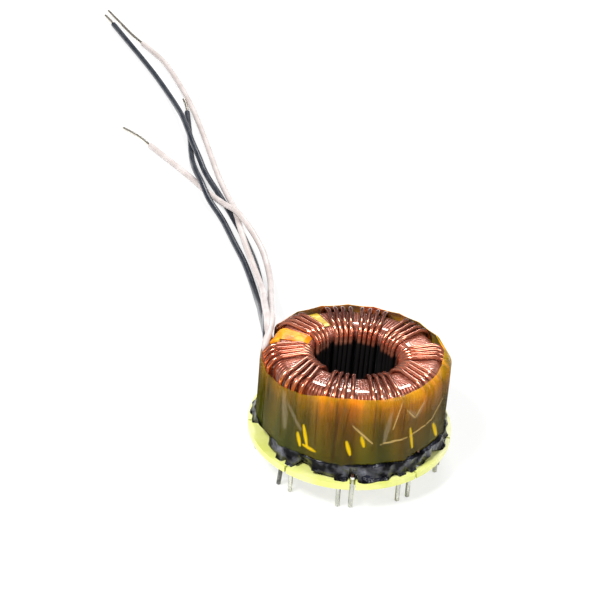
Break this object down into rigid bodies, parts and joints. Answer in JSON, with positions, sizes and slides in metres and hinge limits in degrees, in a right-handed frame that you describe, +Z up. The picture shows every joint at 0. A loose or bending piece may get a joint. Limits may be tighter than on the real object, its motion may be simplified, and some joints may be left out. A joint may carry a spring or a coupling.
{
  "type": "toroidal transformer",
  "caption": "Ring-shaped power transformer wound in heavy copper wire over fine windings, wrapped in a film band on a round pinned base disc, with loose wire leads.",
  "frame": {"origin": "middle of the base disc, in the plane of the pin tips", "axes": "+Z up through the disc and the ring, -Y towards the front, where the opened-out slot is, +X to the right"},
  "size_m": [0.1119, 0.2417, 0.029],
  "materials": {
    "ferrite": "matt sintered ferrite",
    "core_tape": "amber tape",
    "fine_copper": "enamelled copper, glossy",
    "clear_film": "clear glossy film",
    "orange_tape": "glossy orange-yellow tape",
    "olive_tape": "glossy olive-yellow tape",
    "heavy_copper": "enamelled copper, glossy",
    "amber_film": "translucent glossy film",
    "black_adhesive": "glossy set adhesive",
    "pale_board": "satin, slightly translucent",
    "tinned_metal": "dull tinned",
    "solder": "satin",
    "black_insulation": "satin",
    "white_insulation": "satin",
    "bare_wire": "tinned stranded wire"
  },
  "bodies": {
    "root": {"ferrite_core": "ferrite", "core_wrap": "core_tape", "primary_winding": "fine_copper", "primary_film": "clear_film", "auxiliary_winding": "fine_copper", "clear_film": "clear_film", "leadout_tape": "orange_tape", "side_tape": "olive_tape", "lead_tab": "orange_tape", "output_winding_1": "heavy_copper", "output_winding_2": "heavy_copper", "output_winding_3": "heavy_copper", "output_winding_4": "heavy_copper", "output_winding_5": "heavy_copper", "output_winding_6": "heavy_copper", "output_winding_7": "heavy_copper", "output_winding_8": "heavy_copper", "output_winding_9": "heavy_copper", "output_winding_10": "heavy_copper", "outer_band": "amber_film", "adhesive_bed": "black_adhesive", "base_disc": "pale_board", "pin_1": "tinned_metal", "pin_2": "tinned_metal", "pin_3": "tinned_metal", "pin_4": "tinned_metal", "pin_5": "tinned_metal", "pin_6": "tinned_metal", "pin_7": "tinned_metal", "pin_8": "tinned_metal", "pin_9": "tinned_metal", "pin_10": "tinned_metal", "pin_11": "tinned_metal", "pin_12": "tinned_metal", "pin_13": "tinned_metal", "pin_14": "tinned_metal", "pin_15": "tinned_metal", "pin_16": "tinned_metal", "pin_17": "tinned_metal", "pin_18": "tinned_metal", "pin_19": "tinned_metal", "pin_20": "tinned_metal", "solder_joints": "solder", "lead_black_long": "black_insulation", "lead_black_short": "black_insulation", "lead_white_long": "white_insulation", "lead_white_short": "white_insulation", "bare_end_black_long": "bare_wire", "bare_end_black_short": "bare_wire", "bare_end_white_long": "bare_wire", "bare_end_white_short": "bare_wire"}
  },
  "joints": []
}
